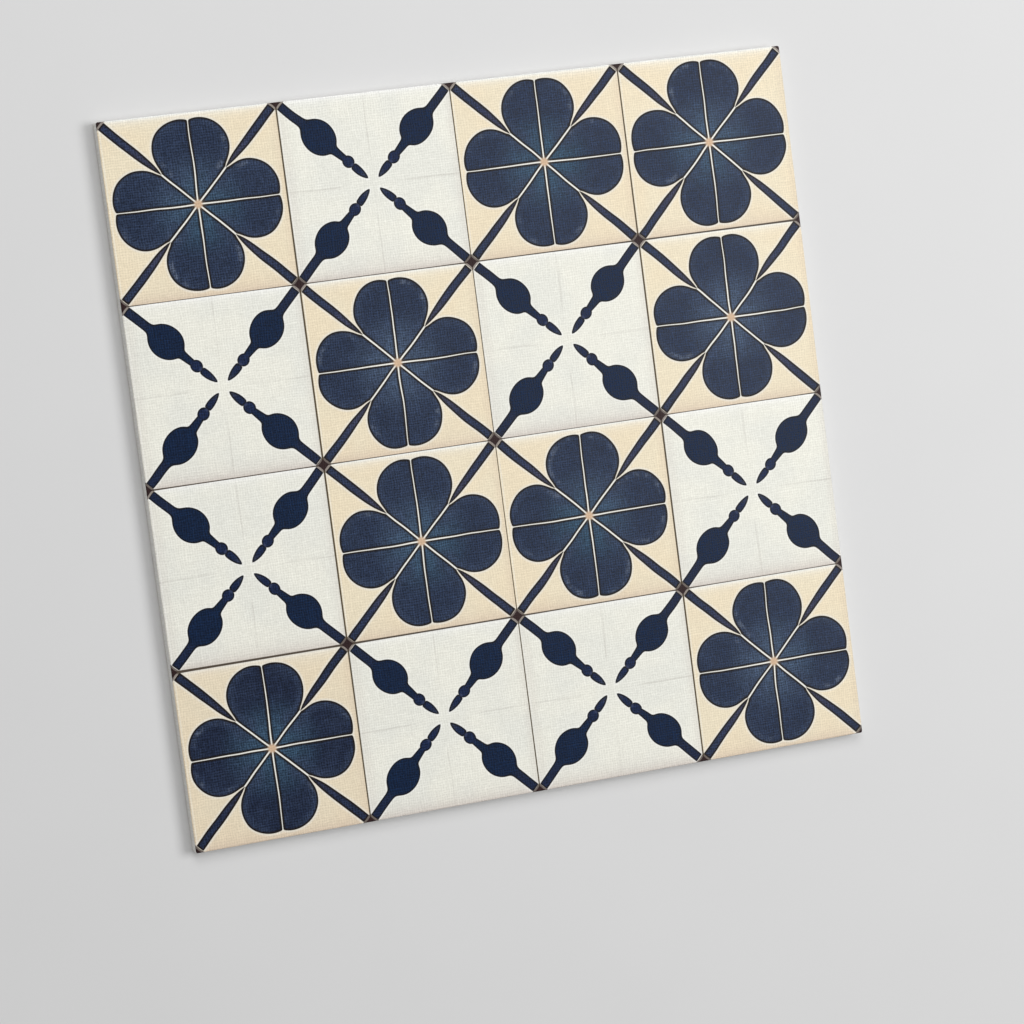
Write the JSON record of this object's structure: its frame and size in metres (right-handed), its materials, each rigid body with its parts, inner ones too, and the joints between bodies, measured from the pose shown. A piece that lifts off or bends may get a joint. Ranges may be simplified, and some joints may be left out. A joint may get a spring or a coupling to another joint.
{
  "type": "self-adhesive vinyl tile",
  "caption": "Thin square vinyl tile printed with a patchwork of navy quatrefoil and turned-baluster motifs on cream and white, with a peel-off backing paper over its adhesive.",
  "frame": {"origin": "centre of the backing paper's underside, on the surface that the tile lies on", "axes": "+Z out of the printed face, +Y to the top edge of the print as the picture shows it, +X to its right edge"},
  "size_m": [0.15, 0.15, 0.0033],
  "materials": {
    "printed_vinyl": "matte printed face with a fine linen grain, pale grey cut edge",
    "backing_paper": "smooth white release paper"
  },
  "bodies": {
    "root": {"release_liner": "backing_paper", "vinyl_tile": "printed_vinyl"}
  },
  "joints": []
}
